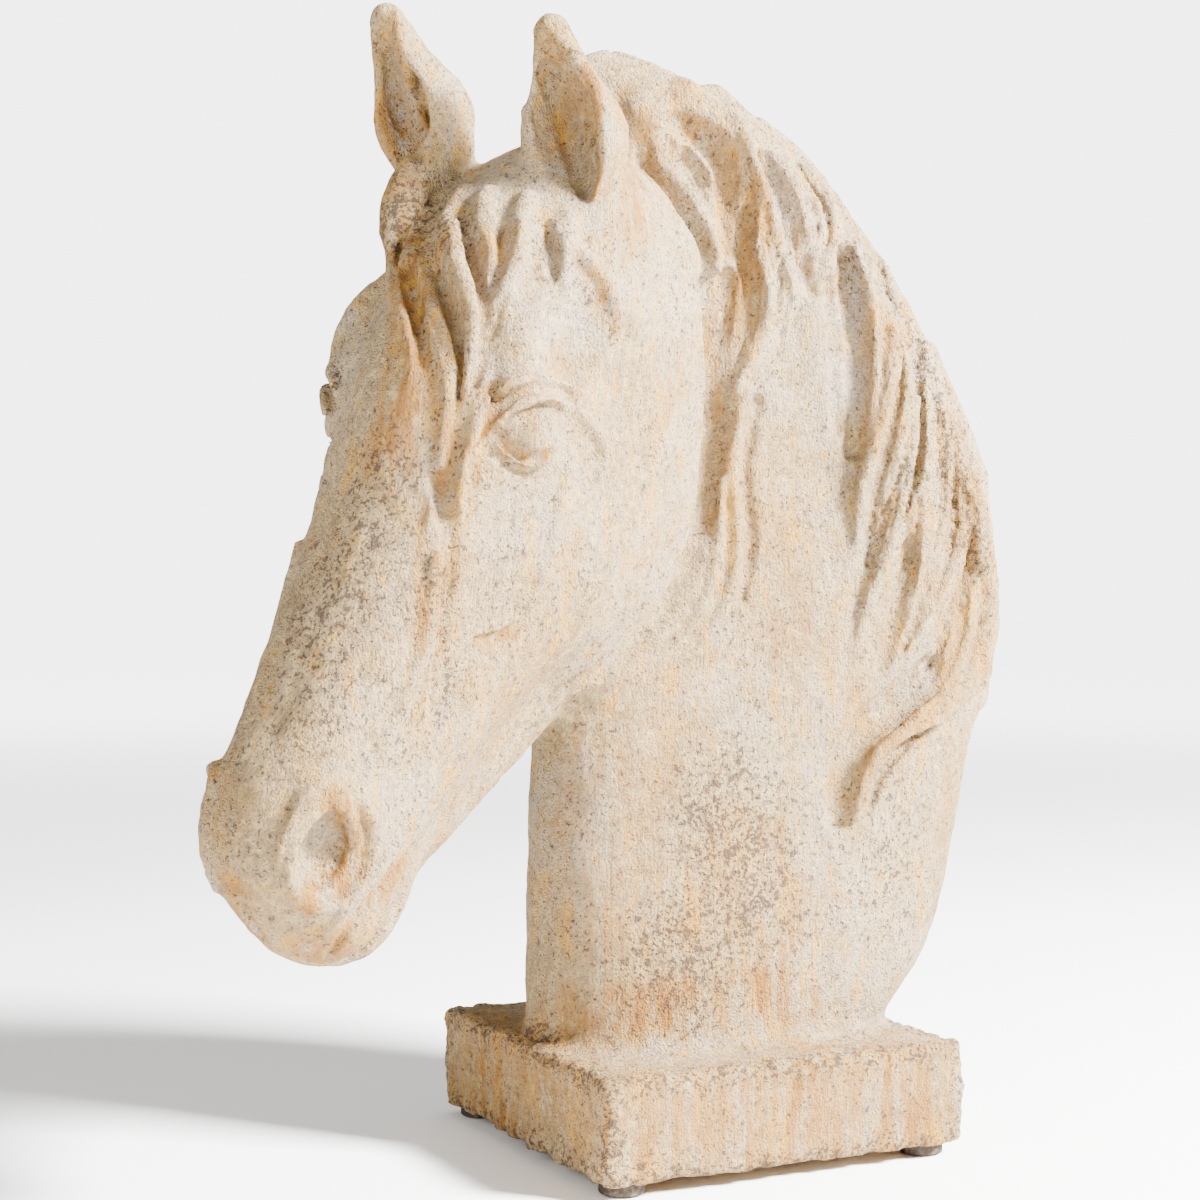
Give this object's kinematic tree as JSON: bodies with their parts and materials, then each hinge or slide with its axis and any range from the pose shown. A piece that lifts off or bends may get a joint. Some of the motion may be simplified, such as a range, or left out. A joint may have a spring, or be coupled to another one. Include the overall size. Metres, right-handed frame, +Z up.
{
  "type": "horse head sculpture",
  "caption": "Cast cement horse head and arched neck with a carved mane, on a square plinth with soft pads underneath.",
  "frame": {"origin": "middle of the bounding box, at the surface the pads stand on", "axes": "+Z up; the neck faces -Y, with the head turned from there to the horse's left, which is +X"},
  "size_m": [0.1756, 0.3618, 0.4303],
  "materials": {
    "cast_cement": "rough cast cement, lime washed, rust stained",
    "pad_rubber": "matt"
  },
  "bodies": {
    "root": {"horse_head_cast": "cast_cement", "pad_front_left": "pad_rubber", "pad_front_right": "pad_rubber", "pad_back_left": "pad_rubber", "pad_back_right": "pad_rubber"}
  },
  "joints": []
}
